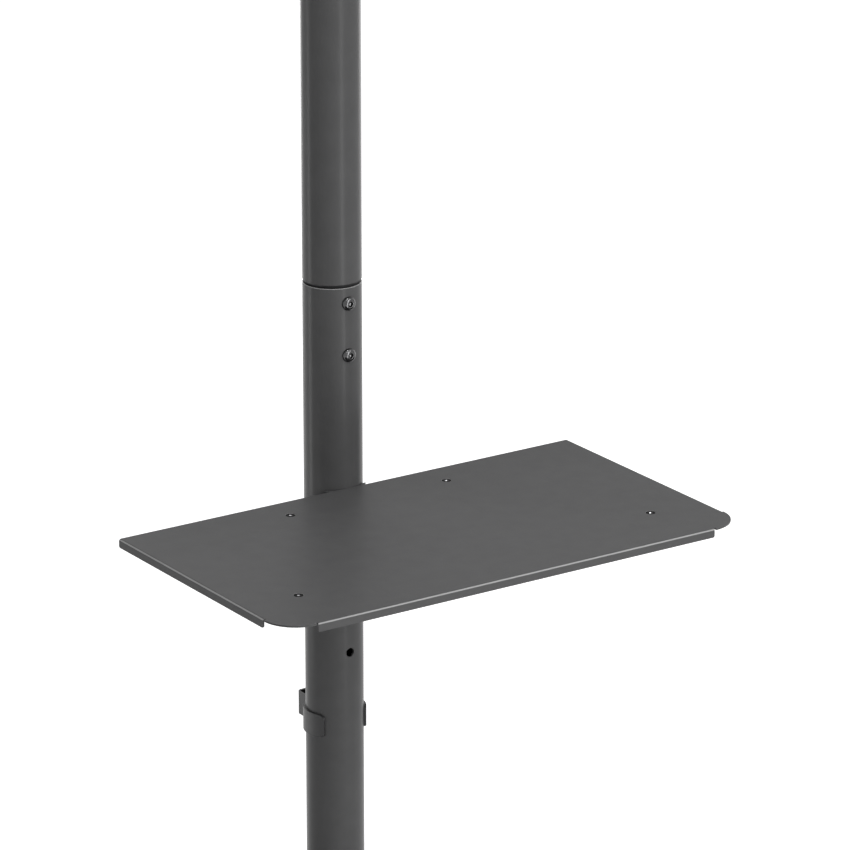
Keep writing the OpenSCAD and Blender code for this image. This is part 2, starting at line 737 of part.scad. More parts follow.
// One ear of the clamp, upright, with its inner face at y = 0 and its body towards -Y
module clamp_ear() translate([0, 0, clamp_bottom + ear_h / 2]) forward() linear_extrude(clamp_t)
    difference() {
    translate([ear_x / 2 + pole_r / 2, 0]) round_rect(ear_x - pole_r, ear_h, ear_r);
    translate([ear_bolt_x, 0]) circle(clamp_bolt_d / 2 + screw_gap);
}

// Half ring round the front of the pole, with the filled roots of its ears
module clamp_half(top) {
    difference() {
        translate([0, 0, clamp_bottom]) cylinder(h = top - clamp_bottom, r = clamp_r);
        translate([0, 0, clamp_bottom - cut]) cylinder(h = top - clamp_bottom + 2 * cut, r = slide_r);
        translate([-ear_x, -ear_gap / 2, clamp_bottom - cut])
            cube([2 * ear_x, 2 * ear_x, clamp_h + bar_h + cut]);
        if (top > ear_top)
            translate([-ear_x, saddle_y, ear_top]) cube([2 * ear_x, ear_x, clamp_h]);
    }
    both_sides() difference() {
        union() {
            translate([0, -ear_gap / 2, 0]) clamp_ear();
            translate([slide_r, -ear_gap / 2 - clamp_t, clamp_bottom])
                cube([clamp_t + ear_r / 2, clamp_t, ear_h]);
        }
        translate([0, 0, clamp_bottom - cut]) cylinder(h = ear_h + 2 * cut, r = slide_r);
    }
}

module shelf_bracket() color(coat_dark) at_pole() {
    bar_back = -clamp_r + bar_sheet;
    difference() {
        // A channel that opens downwards, with its front wall shorter than its rear one
        translate([-bar_w / 2, 0, 0]) rotate([90, 0, 90]) linear_extrude(bar_w) difference() {
            translate([(bar_front + bar_back) / 2, shelf_under]) mirror([0, 1])
                channel_section(bar_back - bar_front, bar_h, bar_sheet, bar_bend_r);
            translate([bar_front - cut, shelf_under - bar_h - cut])
                square([bar_sheet + 2 * cut, bar_h - bar_front_h + cut]);
        }
        translate([0, 0, shelf_under - clamp_h]) cylinder(h = clamp_h + cut, r = slide_r);
        for (p = screw_points) if (p[1] > bar_front) translate([p[0], p[1], shelf_z]) csk_hole();
    }
    clamp_half(shelf_under);
}

module shelf_strap() color(coat_dark) at_pole() mirror([0, 1, 0]) clamp_half(ear_top);

module shelf_clamp_bolts() color(black) at_pole() both_sides()
    translate([ear_bolt_x, ear_gap / 2 + clamp_t, ear_bolt_z]) rotate([-90, 0, 0])
        button_screw(clamp_bolt_d, clamp_head_d, m6_head_h, ear_gap + 2 * clamp_t + m6_nut_h + csk_tip);

module shelf_clamp_nuts() color(zinc) at_pole() both_sides()
    translate([ear_bolt_x, -ear_gap / 2 - clamp_t, ear_bolt_z]) forward() rotate(30)
        hex_nut(m6_af, m6_nut_h, clamp_bolt_d);

// Channel from the cross bar to the front screw, drawn for the right side
module shelf_arm() {
    tip = screw_points[1];
    root = [arm_root_x, bar_front];
    turn = atan2(root[1] - tip[1], root[0] - tip[0]);
    run = norm(root - tip) + arm_w;
    difference() {
        translate([tip[0], tip[1], shelf_under]) rotate(turn) {
            translate([0, 0, -arm_sheet]) linear_extrude(arm_sheet) {
                circle(arm_w / 2);
                translate([0, -arm_w / 2]) square([run, arm_w]);
            }
            // The folded edges rise from nothing at the tip to their full height
            for (y = [-arm_w / 2, arm_w / 2 - arm_sheet]) translate([0, y + arm_sheet, 0]) forward()
                linear_extrude(arm_sheet) polygon([[0, 0], [run, 0], [run, -arm_h], [run / 3, -arm_h],
                    [0, -arm_sheet]]);
        }
        translate([-shelf_w / 2, bar_front, shelf_under - bar_h]) cube([shelf_w, bar_d, 2 * bar_h]);
        translate([tip[0], tip[1], shelf_z]) csk_hole();
    }
}

module shelf_arm_right() color(coat_dark) at_pole() shelf_arm();
module shelf_arm_left() color(coat_dark) at_pole() mirror([1, 0, 0]) shelf_arm();

// Collar that sets the height
module height_collar() color(coat_dark) at_mount() difference() {
    translate([0, 0, collar_top - collar_h]) {
        chamfered_disc(collar_r, collar_h, collar_chamfer);
        linear_extrude(collar_h) translate([0, lug_y / 2 + collar_r / 4])
            round_rect(lug_w, lug_y + collar_r / 2, collar_slit);
    }
    translate([0, 0, collar_mid]) {
        z_hole(2 * slide_r, collar_h);
        translate([-collar_slit / 2, 0, -collar_h]) cube([collar_slit, lug_y + collar_r, 2 * collar_h]);
    }
    translate([0, collar_r + lug_reach / 4, collar_mid]) rotate([0, 90, 0])
        z_hole(m8_d + 2 * screw_gap, lug_w);
    translate([0, -stop_pin_r, collar_top]) z_hole(stop_pin_d + 2 * thread_gap, stop_pin_reach);
}

module collar_screw() color(black) at_mount() translate([lug_w / 2, collar_r + lug_reach / 4, collar_mid])
    rotate([0, 90, 0]) button_screw(m8_d, m8_head_d, m8_head_h, lug_w + m8_nut_h + csk_tip);

module collar_nut() color(zinc) at_mount() translate([-lug_w / 2, collar_r + lug_reach / 4, collar_mid])
    rotate([0, -90, 0]) rotate(30) hex_nut(m8_af, m8_nut_h, m8_d);

module thrust_washer() color(nylon) at_mount() translate([0, 0, collar_top]) difference() {
    ring(sleeve_r, slide_r, thrust_t - face_gap);
    translate([0, -stop_pin_r, 0]) z_hole(stop_pin_d + 2 * thread_gap, thrust_t);
}

module swivel_stop_pin() color(zinc) at_mount() translate([0, -stop_pin_r, collar_top - stop_pin_reach])
    cylinder(h = stop_pin_reach * 2, d = stop_pin_d);

// Ear seen from the side: round about the tilt axis, then wider in a straight line to the sleeve
module ear_outline() {
    root = [-sleeve_r, ear_root_h / 2];
    turn = atan2(root[1], root[0] - tilt_y) + acos(tilt_ear_r / norm([root[0] - tilt_y, root[1]]));
    touch = [tilt_y + tilt_ear_r * cos(turn), tilt_ear_r * sin(turn)];
    translate([tilt_y, 0]) circle(tilt_ear_r);
    polygon([
        [0, root[1]], root, touch, [touch[0], -touch[1]], [root[0], -root[1]], [0, -root[1]]
    ]);
}

// Slot for a tilt lock screw, wide enough for its short arc round the tilt axis
module tilt_slot() {
    half_turn = (tilt_forward + tilt_back) / 2;
    bow = tilt_lock_r * (1 - cos(half_turn));
    width = 2 * lock_slot_r + bow;
    rotate(tilt_forward - half_turn) translate([0, tilt_lock_r - bow / 2])
        slot_shape(2 * tilt_lock_r * sin(half_turn) + width, width);
}

module swivel_sleeve() color(coat_dark) at_mount() difference() {
    union() {
        translate([0, 0, sleeve_bottom]) cylinder(h = sleeve_h, r = sleeve_r);
        both_sides() translate([ear_in_x, 0, 0]) rotate([90, 0, 90]) linear_extrude(head_ear_t)
            ear_outline();
        rotate([-90, 0, 0]) cylinder(h = sleeve_r + lock_boss_h, d = lock_boss_d);
    }
    translate([0, 0, sleeve_bottom - cut]) cylinder(h = sleeve_h + 2 * cut, r = sleeve_bore);
    rotate([-90, 0, 0]) cylinder(h = sleeve_r + lock_boss_h + cut, d = m8_d + 2 * thread_gap);
    translate([0, tilt_y, 0]) rotate([0, 90, 0]) z_hole(2 * (pivot_r + pivot_gap), sleeve_r + cut);
    translate([-sleeve_r - cut, tilt_y, 0]) rotate([90, 0, 90]) linear_extrude(2 * sleeve_r + 2 * cut)
        tilt_slot();
    // Slot in the bottom edge for the stop pin
    translate([0, 0, sleeve_bottom - cut]) linear_extrude(stop_slot_h + cut) polygon([
        [0, 0],
        [-2 * sleeve_r * sin(stop_slot_angle), -2 * sleeve_r * cos(stop_slot_angle)],
        [2 * sleeve_r * sin(stop_slot_angle), -2 * sleeve_r * cos(stop_slot_angle)]
    ]);
}

// Plain bush with a lip over the sleeve's end
module swivel_bush_upper() color(nylon) at_mount() {
    translate([0, 0, -sleeve_bottom - bush_h]) ring(bush_r, slide_r, bush_h);
    translate([0, 0, -sleeve_bottom]) ring(sleeve_r, slide_r, bush_lip);
}

module swivel_bush_lower() color(nylon) at_mount() translate([0, 0, sleeve_bottom + stop_slot_h])
    ring(bush_r, slide_r, bush_h);

module swivel_lock_screw() color(black) at_mount() translate([0, sleeve_r + lock_boss_h, 0])
    rotate([-90, 0, 0])
    button_screw(m8_d, m8_head_d, m8_head_h, sleeve_r + lock_boss_h - pole_r - lock_tip_gap);

// Bracket that tilts between the ears and carries the centre plate
module tilt_bracket() color(coat_dark) at_mount() difference() {
    union() {
        translate([0, tilt_web_y, 0]) forward() linear_extrude(tilt_sheet)
            round_rect(2 * (cheek_out_x - tilt_bend_r), tilt_web_h, tilt_sheet);
        intersection() {
            translate([0, web_front, -cheek_r - cut]) linear_extrude(2 * cheek_r + 2 * cut)
                channel_section(2 * cheek_out_x, tilt_y + cheek_r + cut - web_front, tilt_sheet,
                    tilt_bend_r);
            translate([-cheek_out_x - cut, 0, 0]) rotate([90, 0, 90])
                linear_extrude(2 * cheek_out_x + 2 * cut) {
                    translate([tilt_y, 0]) circle(cheek_r);
                    translate([web_front - cut, -cheek_r]) square([tilt_y - web_front + cut, 2 * cheek_r]);
                }
        }
    }
    translate([0, tilt_y, 0]) rotate([0, 90, 0]) z_hole(m8_d + 2 * thread_gap, 2 * cheek_out_x);
    translate([0, tilt_y, tilt_lock_r]) rotate([0, 90, 0]) z_hole(m6_d + 2 * thread_gap, 2 * cheek_out_x);
    web_bolt_places() z_hole(m6_d + 2 * screw_gap, 2 * tilt_sheet);
}

// Bolts that join the centre plate to the tilt bracket, with their axis along -Y
module web_bolt_places() for (x = [-1, 1], z = [-1, 1])
    translate([x * web_bolt_x, web_front, z * web_bolt_z])
    forward() children();

module tilt_washers() color(nylon) at_mount() both_sides() translate([ear_out_x + face_gap, tilt_y, 0])
    rotate([0, 90, 0]) ring(washer_r, pivot_r + thread_gap, tilt_gap - 2 * face_gap);

module tilt_bolts() color(black) at_mount() both_sides() translate([cheek_out_x, tilt_y, 0])
    rotate([0, 90, 0])
    button_screw(m8_d, m8_head_d, m8_head_h, cheek_out_x - ear_in_x + face_gap + m8_nut_h);

module tilt_nuts() color(zinc) at_mount() both_sides() translate([ear_in_x - face_gap, tilt_y, 0])
    rotate([0, -90, 0]) hex_nut(m8_af, m8_nut_h, m8_d);

module tilt_lock_screws() color(black) at_mount() both_sides() translate([cheek_out_x, tilt_y, tilt_lock_r])
    rotate([0, 90, 0]) button_screw(m6_d, m6_af, m6_head_h, cheek_out_x - ear_in_x + face_gap + m6_nut_h);

module tilt_lock_nuts() color(zinc) at_mount() both_sides()
    translate([ear_in_x - face_gap, tilt_y, tilt_lock_r])
    rotate([0, -90, 0]) hex_nut(m6_af, m6_nut_h, m6_d);

// Centre plate with folded sides and openings that save weight
module screen_plate() color(coat) at_mount() {
    side_len = plate_h - 2 * plate_r - 2 * fold_relief;
    difference() {
        translate([0, web_front, 0]) forward() linear_extrude(plate_sheet) difference() {
            round_rect(plate_w, plate_h, plate_r);
            for (x = [-1, 1]) {
                translate([x * (plate_w / 4 + cheek_out_x / 2), 0]) rotate(90)
                    slot_shape(plate_h / 2, plate_w / 8);
                translate([x * plate_w / 2, 0])
                    square([2 * plate_bend_r, side_len + 2 * fold_relief], center = true);
            }
        }
        web_bolt_places() z_hole(m6_d + 2 * screw_gap, 2 * tilt_sheet);
        rail_bolt_places() z_hole(m6_d + 2 * screw_gap, 2 * tilt_sheet);
    }
    both_sides() translate([plate_w / 2, plate_front, -side_len / 2]) linear_extrude(side_len)
        mirror([0, 1]) fold_section(plate_sheet, plate_flange_h, plate_bend_r);
}

module rail_bolt_places() for (x = [-1, 1], z = [-1, 1])
    translate([x * rail_bolt_x, plate_front, z * rail_z])
    forward() children();

module plate_bolts() color(black) at_mount() web_bolt_places() translate([0, 0, plate_sheet])
    button_screw(m6_d, m6_head_d, m6_head_h, plate_sheet + tilt_sheet + m6_nut_h);

module plate_nuts() color(zinc) at_mount() web_bolt_places() translate([0, 0, -tilt_sheet])
    rotate([180, 0, 0])
    hex_nut(m6_af, m6_nut_h, m6_d);

// Rail: a channel that opens to the front
module rail() difference() {
    translate([-rail_w / 2, plate_front, 0]) rotate([90, 0, 90]) linear_extrude(rail_w) rotate(90)
        channel_section(rail_h, rail_depth, rail_sheet, rail_bend_r);
    for (x = [-1, 1]) translate([x * rail_bolt_x, plate_front, 0]) forward()
        z_hole(m6_d + 2 * screw_gap, rail_sheet + cut);
    for (x = [-1, 1]) translate([x * (rail_w / 2 - rail_slot_len), plate_front + cut, 0]) forward()
        linear_extrude(rail_sheet + 2 * cut) slot_shape(rail_slot_len, m8_d);
}

module rail_upper() color(coat) at_mount() translate([0, 0, rail_z]) rail();
module rail_lower() color(coat) at_mount() translate([0, 0, -rail_z]) rail();

module rail_bolts() color(black) at_mount() rail_bolt_places() translate([0, 0, rail_sheet])
    button_screw(m6_d, m6_head_d, m6_head_h, rail_sheet + plate_sheet + m6_nut_h);

module rail_nuts() color(zinc) at_mount() rail_bolt_places() translate([0, 0, -plate_sheet])
    rotate([180, 0, 0])
    hex_nut(m6_af, m6_nut_h, m6_d);

// Plastic cap on a rail's right end, with a plug that fits between the channel's walls
module rail_cap() {
    plug_gap = rail_sheet + seat_gap;
    translate([rail_w / 2, plate_front, 0]) rotate([90, 0, 90]) {
        linear_extrude(rail_cap_t) rotate(90) channel_outline(rail_h, rail_depth, rail_bend_r);
        translate([0, 0, -rail_cap_plug]) linear_extrude(rail_cap_plug) rotate(90)
            translate([0, plug_gap])
            channel_outline(rail_h - 2 * plug_gap, rail_depth - plug_gap, rail_bend_r - plug_gap);
    }
}

module rail_caps() color(black) at_mount() for (z = [-1, 1]) translate([0, 0, z * rail_z])
    both_sides() rail_cap();

// Side wall of a screen arm, with its hook over the upper rail and its tab under the lower one
module screen_arm_side() {
    front = arm_front + rail_bend_r;
    rear = rail_front - arm_seat_gap;
    rail_edge = rail_z + rail_h / 2;
    hook_in = plate_front + hook_gap;
    hook_out = hook_in + hook_t;
    hook_low = rail_edge + hook_gap;
    hook_high = hook_low + hook_t;
    hook_end = rail_edge - hook_drop;
    tab_out = lock_y + lock_tab_r;
    tab_low = lock_z - lock_tab_r;
    polygon([
        [front, -screen_top], [rear - arm_chamfer, -screen_top], [rear, -screen_top + arm_chamfer],
        [rear, screen_top - arm_chamfer], [rear - arm_chamfer, screen_top], [front, screen_top]
    ]);
    polygon([
        [front, hook_low], [hook_in, hook_low], [hook_in, hook_end + hook_bevel],
        [hook_in + hook_bevel, hook_end], [hook_out - hook_bevel, hook_end],
        [hook_out, hook_end + hook_bevel], [hook_out, hook_high - hook_t / 2],
        [hook_out - hook_t / 2, hook_high], [front, hook_high]
    ]);
    polygon([
        [front, tab_low], [tab_out - hook_t / 2, tab_low], [tab_out, tab_low + hook_t / 2],
        [tab_out, -hook_low], [front, -hook_low]
    ]);
}

module screen_arm() difference() {
    union() {
        for (x = [-screen_arm_w / 2, screen_arm_w / 2 - rail_sheet]) translate([x, 0, 0])
            rotate([90, 0, 90])
            linear_extrude(rail_sheet) screen_arm_side();
        translate([0, arm_front, -screen_top]) linear_extrude(2 * screen_top)
            channel_section(screen_arm_w, rail_bend_r + fold_lap, rail_sheet, rail_bend_r);
    }
    steps = floor(screen_pitch / 2 / screen_hole_step);
    for (i = [0:steps - 2], z = [-1, 1]) {
        translate([0, arm_front, z * (screen_pitch / 2 - i * screen_hole_step)]) forward()
            z_hole(screen_hole_d, rail_sheet + cut);
        translate([0, arm_front + rail_sheet + cut, z * (screen_pitch / 2 - (i + 0.5) * screen_hole_step)])
            forward() linear_extrude(rail_sheet + 2 * cut) rotate(90)
                slot_shape(screen_hole_step / 2, screen_hole_d);
    }
    translate([0, lock_y, lock_z]) rotate([0, 90, 0]) z_hole(m6_d + 2 * thread_gap, screen_arm_w);
}

module screen_arm_left() color(coat) at_mount() translate([-screen_x, 0, 0]) screen_arm();
module screen_arm_right() color(coat) at_mount() translate([screen_x, 0, 0]) screen_arm();

module arm_lock_screws() color(black) at_mount() both_sides()
    translate([screen_x + screen_arm_w / 2, lock_y, lock_z])
    rotate([0, 90, 0]) button_screw(m6_d, m6_af, m6_head_h, screen_arm_w + m6_nut_h);

module arm_lock_nuts() color(zinc) at_mount() both_sides()
    translate([screen_x - screen_arm_w / 2, lock_y, lock_z])
    rotate([0, -90, 0]) hex_nut(m6_af, m6_nut_h, m6_d);

base_plate();
base_stiffener();
base_feet();
foot_screws();
tube_foot();
base_washers();
base_bolts();
foot_trim();
lower_tube();
upper_tube();
joint_screws();
joint_nut_bar();
pole_cap();
cable_clip_upper();
cable_clip_lower();
shelf_plate();
shelf_bracket();
shelf_arm_left();
shelf_arm_right();
shelf_screws();
shelf_nuts();
shelf_strap();
shelf_clamp_bolts();
shelf_clamp_nuts();
height_collar();
collar_screw();
collar_nut();
thrust_washer();
swivel_stop_pin();
swivel_sleeve();
swivel_bush_upper();
swivel_bush_lower();
swivel_lock_screw();
tilt_bracket();
tilt_washers();
tilt_bolts();
tilt_nuts();
tilt_lock_screws();
tilt_lock_nuts();
screen_plate();
plate_bolts();
plate_nuts();
rail_upper();
rail_lower();
rail_bolts();
rail_nuts();
rail_caps();
screen_arm_left();
screen_arm_right();
arm_lock_screws();
arm_lock_nuts();
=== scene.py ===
import json
import math

import bmesh
import bpy
from mathutils import Matrix, Vector


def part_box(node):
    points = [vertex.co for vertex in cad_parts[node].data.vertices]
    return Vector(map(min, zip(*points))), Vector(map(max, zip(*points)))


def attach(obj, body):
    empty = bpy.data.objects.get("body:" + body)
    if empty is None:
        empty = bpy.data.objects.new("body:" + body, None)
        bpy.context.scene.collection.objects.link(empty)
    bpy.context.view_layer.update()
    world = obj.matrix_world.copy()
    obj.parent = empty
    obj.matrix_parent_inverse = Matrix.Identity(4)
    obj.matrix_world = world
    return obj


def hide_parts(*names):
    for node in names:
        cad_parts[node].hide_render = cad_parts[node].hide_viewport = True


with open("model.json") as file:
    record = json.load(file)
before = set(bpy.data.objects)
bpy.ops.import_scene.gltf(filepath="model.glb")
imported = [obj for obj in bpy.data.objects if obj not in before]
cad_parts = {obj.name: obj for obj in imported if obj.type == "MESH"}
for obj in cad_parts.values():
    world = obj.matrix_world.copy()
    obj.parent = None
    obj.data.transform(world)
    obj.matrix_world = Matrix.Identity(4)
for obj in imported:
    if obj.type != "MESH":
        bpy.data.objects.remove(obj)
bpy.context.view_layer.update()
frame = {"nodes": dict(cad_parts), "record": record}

NODES = frame["nodes"]
SLOTS = {part["node"]: part["material_slot"] for part in frame["record"]["subparts"]}
BODIES = {node: body for body, nodes in frame["record"]["behaviour"]["bodies"].items() for node in nodes}
MM = 0.001
RIGHT, BACK, UP = (Vector(axis) for axis in ((1, 0, 0), (0, 1, 0), (0, 0, 1)))


def corners_of(node):
    """The node's lowest and highest corner."""
    return [Vector(corner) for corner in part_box(node)]


# Places taken from the frame
TUBE_LOW, TUBE_HIGH = corners_of("lower_tube")
SHELF_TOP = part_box("shelf_plate")[1][2]
POLE_X = (TUBE_LOW.x + TUBE_HIGH.x) / 2
POLE_Y = (TUBE_LOW.y + TUBE_HIGH.y) / 2
AIM = Vector((POLE_X, POLE_Y, SHELF_TOP))

# The photograph's camera, measured from the pole's axis at the height of the shelf's top
YAW = math.radians(33.927)
PITCH = math.radians(18.741)
CAMERA_DISTANCE = 4.1755
CAMERA_RIGHT = 0.07746
CAMERA_UP = 0.0459
FOCAL_PIXELS = 4943.4
FRAME_PIXELS = 850
SENSOR_MM = 36


def new_object(name, data):
    obj = bpy.data.objects.new(name, data)
    bpy.context.scene.collection.objects.link(obj)
    return obj


def view_axes(yaw, pitch):
    """Forward, right and up of a camera that looks along +Y at yaw 0."""
    level = math.cos(pitch)
    forward = Vector((math.sin(yaw) * level, math.cos(yaw) * level, -math.sin(pitch)))
    right = Vector((math.cos(yaw), -math.sin(yaw), 0))
    return forward, right, right.cross(forward)


def make_camera():
    forward, right, up = view_axes(YAW, PITCH)
    data = bpy.data.cameras.new("camera")
    data.sensor_width = SENSOR_MM
    data.lens = FOCAL_PIXELS / FRAME_PIXELS * SENSOR_MM
    camera = new_object("camera", data)
    camera.location = AIM - forward * CAMERA_DISTANCE + right * CAMERA_RIGHT + up * CAMERA_UP
    camera.rotation_euler = (math.pi / 2 - PITCH, 0, -YAW)
    bpy.context.scene.camera = camera


make_camera()


# Materials
WHITE = (1, 1, 1, 1)
BLACK = (0, 0, 0, 1)
# A noise keeps mostly between these values
NOISE_LOW = 0.3
NOISE_HIGH = 0.7
# How far up the surface faces where the painted highlight along folds and edges starts, is fully light,
# fades and ends
PAINTED_HIGHLIGHT_START = 0.34
PAINTED_HIGHLIGHT_FULL = 0.5
PAINTED_HIGHLIGHT_FADE = 0.78
PAINTED_HIGHLIGHT_END = 0.92
# The sockets for colours of a mix node, which has others of the same names
MIX_SHARE = 0
MIX_FIRST = 6
MIX_SECOND = 7
MIX_RESULT = 2


def new_material(name):
    material = bpy.data.materials.new(name)
    material.use_nodes = True
    tree = material.node_tree
    return material, tree, tree.nodes["Principled BSDF"]


def add_node(tree, kind, **inputs):
    node = tree.nodes.new(kind)
    for key, value in inputs.items():
        node.inputs[key.replace("_", " ")].default_value = value
    return node


def object_noise(tree, scale, detail):
    """Noise in the object's own space, with the given features to the metre."""
    coords = tree.nodes.new("ShaderNodeTexCoord")
    noise = add_node(tree, "ShaderNodeTexNoise", Scale=scale, Detail=detail)
    tree.links.new(coords.outputs["Object"], noise.inputs["Vector"])
    return noise.outputs["Fac"]


def mottle(tree, shader, colour, amount, scale, detail=3.0):
    """Vary the base colour a little, evenly round the given one."""
    ramp = tree.nodes.new("ShaderNodeValToRGB")
    ends = zip(ramp.color_ramp.elements, (NOISE_LOW, NOISE_HIGH), (1 - amount, 1 + amount))
    for element, place, share in ends:
        element.position = place
        element.color = (*[channel * share for channel in colour], 1)
    tree.links.new(object_noise(tree, scale, detail), ramp.inputs["Fac"])
    tree.links.new(ramp.outputs["Color"], shader.inputs["Base Color"])


def grain(tree, shader, roughness, scale, detail, low, high, strength, depth):
    """Fine relief. The roughness follows it, from the low to the high share of its value."""
    texture = object_noise(tree, scale, detail)
    rough = add_node(tree, "ShaderNodeMapRange", From_Min=NOISE_LOW, From_Max=NOISE_HIGH,
                     To_Min=roughness * low, To_Max=roughness * high)
    bump = add_node(tree, "ShaderNodeBump", Strength=strength, Distance=depth)
    tree.links.new(texture, rough.inputs["Value"])
    tree.links.new(rough.outputs["Result"], shader.inputs["Roughness"])
    tree.links.new(texture, bump.inputs["Height"])
    tree.links.new(bump.outputs["Normal"], shader.inputs["Normal"])


def paint_edge_highlight(tree, shader, tone):
    """Paint a highlight into the coat's colour where the surface turns from level to upright, along folds
    and cut edges.
    """
    coords = tree.nodes.new("ShaderNodeTexCoord")
    split = tree.nodes.new("ShaderNodeSeparateXYZ")
    band = tree.nodes.new("ShaderNodeValToRGB")
    elements = band.color_ramp.elements
    elements[0].position = PAINTED_HIGHLIGHT_START
    elements[1].position = PAINTED_HIGHLIGHT_END
    elements[1].color = BLACK
    for place in (PAINTED_HIGHLIGHT_FULL, PAINTED_HIGHLIGHT_FADE):
        elements.new(place).color = WHITE
    mix = tree.nodes.new("ShaderNodeMix")
    mix.data_type = "RGBA"
    mix.inputs[MIX_SECOND].default_value = (tone, tone, tone, 1)
    colour = shader.inputs["Base Color"].links[0].from_socket
    tree.links.new(coords.outputs["Normal"], split.inputs["Vector"])
    tree.links.new(split.outputs["Z"], band.inputs["Fac"])
    tree.links.new(band.outputs["Color"], mix.inputs[MIX_SHARE])
    tree.links.new(colour, mix.inputs[MIX_FIRST])
    tree.links.new(mix.outputs[MIX_RESULT], shader.inputs["Base Color"])


def powder_coat(name, colour, roughness, gloss=0.11, highlight_tone=None):
    """Satin powder coat: an even orange peel and a faint mottle."""
    material, tree, shader = new_material(name)
    mottle(tree, shader, colour, amount=0.04, scale=60.0)
    # With a highlight tone, a painted highlight lightens the coat along folds and edges that face partly up
    if highlight_tone:
        paint_edge_highlight(tree, shader, highlight_tone)
    grain(tree, shader, roughness, scale=900.0, detail=2.0, low=0.94, high=1.06,
          strength=0.3, depth=0.03 * MM)
    shader.inputs["Specular IOR Level"].default_value = gloss
    return material


def moulded(name, colour, roughness, scale=1500.0, depth=0.03, gloss=0.35):
    """Moulded plastic or rubber: a fine spark-eroded grain, its depth in millimetres."""
    material, tree, shader = new_material(name)
    mottle(tree, shader, colour, amount=0.06, scale=90.0)
    grain(tree, shader, roughness, scale=scale, detail=3.0, low=0.9, high=1.1,
          strength=0.4, depth=depth * MM)
    shader.inputs["Specular IOR Level"].default_value = gloss
    return material


def metal(name, colour, roughness, metallic=1.0):
    """Plated, blackened or bare steel, with a faint unevenness in its gloss and in its tone."""
    material, tree, shader = new_material(name)
    mottle(tree, shader, colour, amount=0.12, scale=350.0)
    grain(tree, shader, roughness, scale=500.0, detail=4.0, low=0.8, high=1.25,
          strength=0.12, depth=0.02 * MM)
    shader.inputs["Metallic"].default_value = metallic
    return material


COAT_COLOUR = (0.088, 0.088, 0.089)
SATIN = 0.3
DULL = 0.42
DULL_GLOSS = 0.06
# The lightness of the painted highlight along folds and cut edges
EDGE_HIGHLIGHT_TONE = 0.36
FINISHES = {
    "powder_coat": powder_coat("stand_coat", COAT_COLOUR, SATIN),
    "bracket_coat": powder_coat("stand_bracket_coat", (0.076, 0.076, 0.077), roughness=0.4),
    "black_plastic": moulded("stand_plastic", (0.026, 0.026, 0.027), roughness=0.42),
    "nylon": moulded("stand_nylon", (0.045, 0.045, 0.046), roughness=0.5, scale=900.0),
    "foot_rubber": moulded("stand_rubber", (0.02, 0.02, 0.02), roughness=0.75, scale=2200.0, depth=0.06),
    "black_screw": metal("stand_black_screw", (0.085, 0.085, 0.087), roughness=0.14, metallic=0.9),
    "zinc_steel": metal("stand_zinc", (0.52, 0.53, 0.54), roughness=0.3),
}
# The pieces shown most closely have a painted highlight: a light line along their folds and cut edges
HIGHLIT_COAT = powder_coat("stand_coat_painted_highlight", COAT_COLOUR, SATIN, highlight_tone=EDGE_HIGHLIGHT_TONE)
# The large level sheets are duller than the tubes, so that they don't mirror the lamps at a low angle
# The shelf's coat has the same painted highlight along its folds and cut edges
SHELF_COAT = powder_coat("stand_shelf_coat", COAT_COLOUR, DULL, gloss=DULL_GLOSS, highlight_tone=EDGE_HIGHLIGHT_TONE)
BASE_COAT = powder_coat("stand_base_coat", COAT_COLOUR, DULL, gloss=DULL_GLOSS)
# The countersunk screws are painted a flat black, and a key has worn it off their sockets
FLAT_BLACK = moulded("stand_flat_black", (0.01, 0.01, 0.01), roughness=0.6, gloss=0.03)
BARE_STEEL = metal("stand_bare_steel", (0.34, 0.34, 0.35), roughness=0.25)
# A second finish is for the faces that turn() marks as worn
OWN_FINISHES = {
    "lower_tube": (HIGHLIT_COAT,),
    "upper_tube": (HIGHLIT_COAT,),
    "shelf_plate": (SHELF_COAT,),
    "base_plate": (BASE_COAT,),
    "shelf_screws": (FLAT_BLACK, BARE_STEEL),
}
for node, obj in NODES.items():
    obj.data.materials.clear()
    obj.data.materials.append(FINISHES[SLOTS[node]])


# Pieces
FLAT_FACE_WEIGHT = 90


def mesh_of(form, name):
    """The form as a smoothly shaded mesh. The form is used up."""
    mesh = bpy.data.meshes.new(name)
    form.to_mesh(mesh)
    form.free()
    for face in mesh.polygons:
        face.use_smooth = True
    return mesh


def add_piece(name, mesh, node, slot=None, finishes=None):
    """A new piece on the body of a CAD node, in that node's finish, another slot's or its own finishes."""
    obj = new_object(name, mesh)
    for finish in finishes or (FINISHES[slot or SLOTS[node]],):
        mesh.materials.append(finish)
    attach(obj, BODIES[node])
    return obj


def steady_normals(obj):
    """Keep the large faces flat and turn the narrow ones beside them, so that a small edge looks round."""
    obj.modifiers.new("normals", "WEIGHTED_NORMAL").weight = FLAT_FACE_WEIGHT


def stand_for(node, form):
    """Make the piece that stands for the node."""
    name = node + "_finish"
    piece = add_piece(name, mesh_of(form, name), node, finishes=OWN_FINISHES.get(node))
    steady_normals(piece)
    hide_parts(node)


# CAD solids with their hard edges softened
WELD = 0.001 * MM
SAME_LEVEL = WELD * 10
FLAT_ANGLE = math.radians(1)
HARD_EDGE = math.radians(38)
ROUND_PROFILE = 0.5
CORNER_SEGMENTS = 5
# How long an edge across the sheet is at most, and the radius of the corner there
FREE_CORNERS = {"shelf_plate": (1.6 * MM, 1.6 * MM), "base_plate": (3.2 * MM, 3 * MM)}
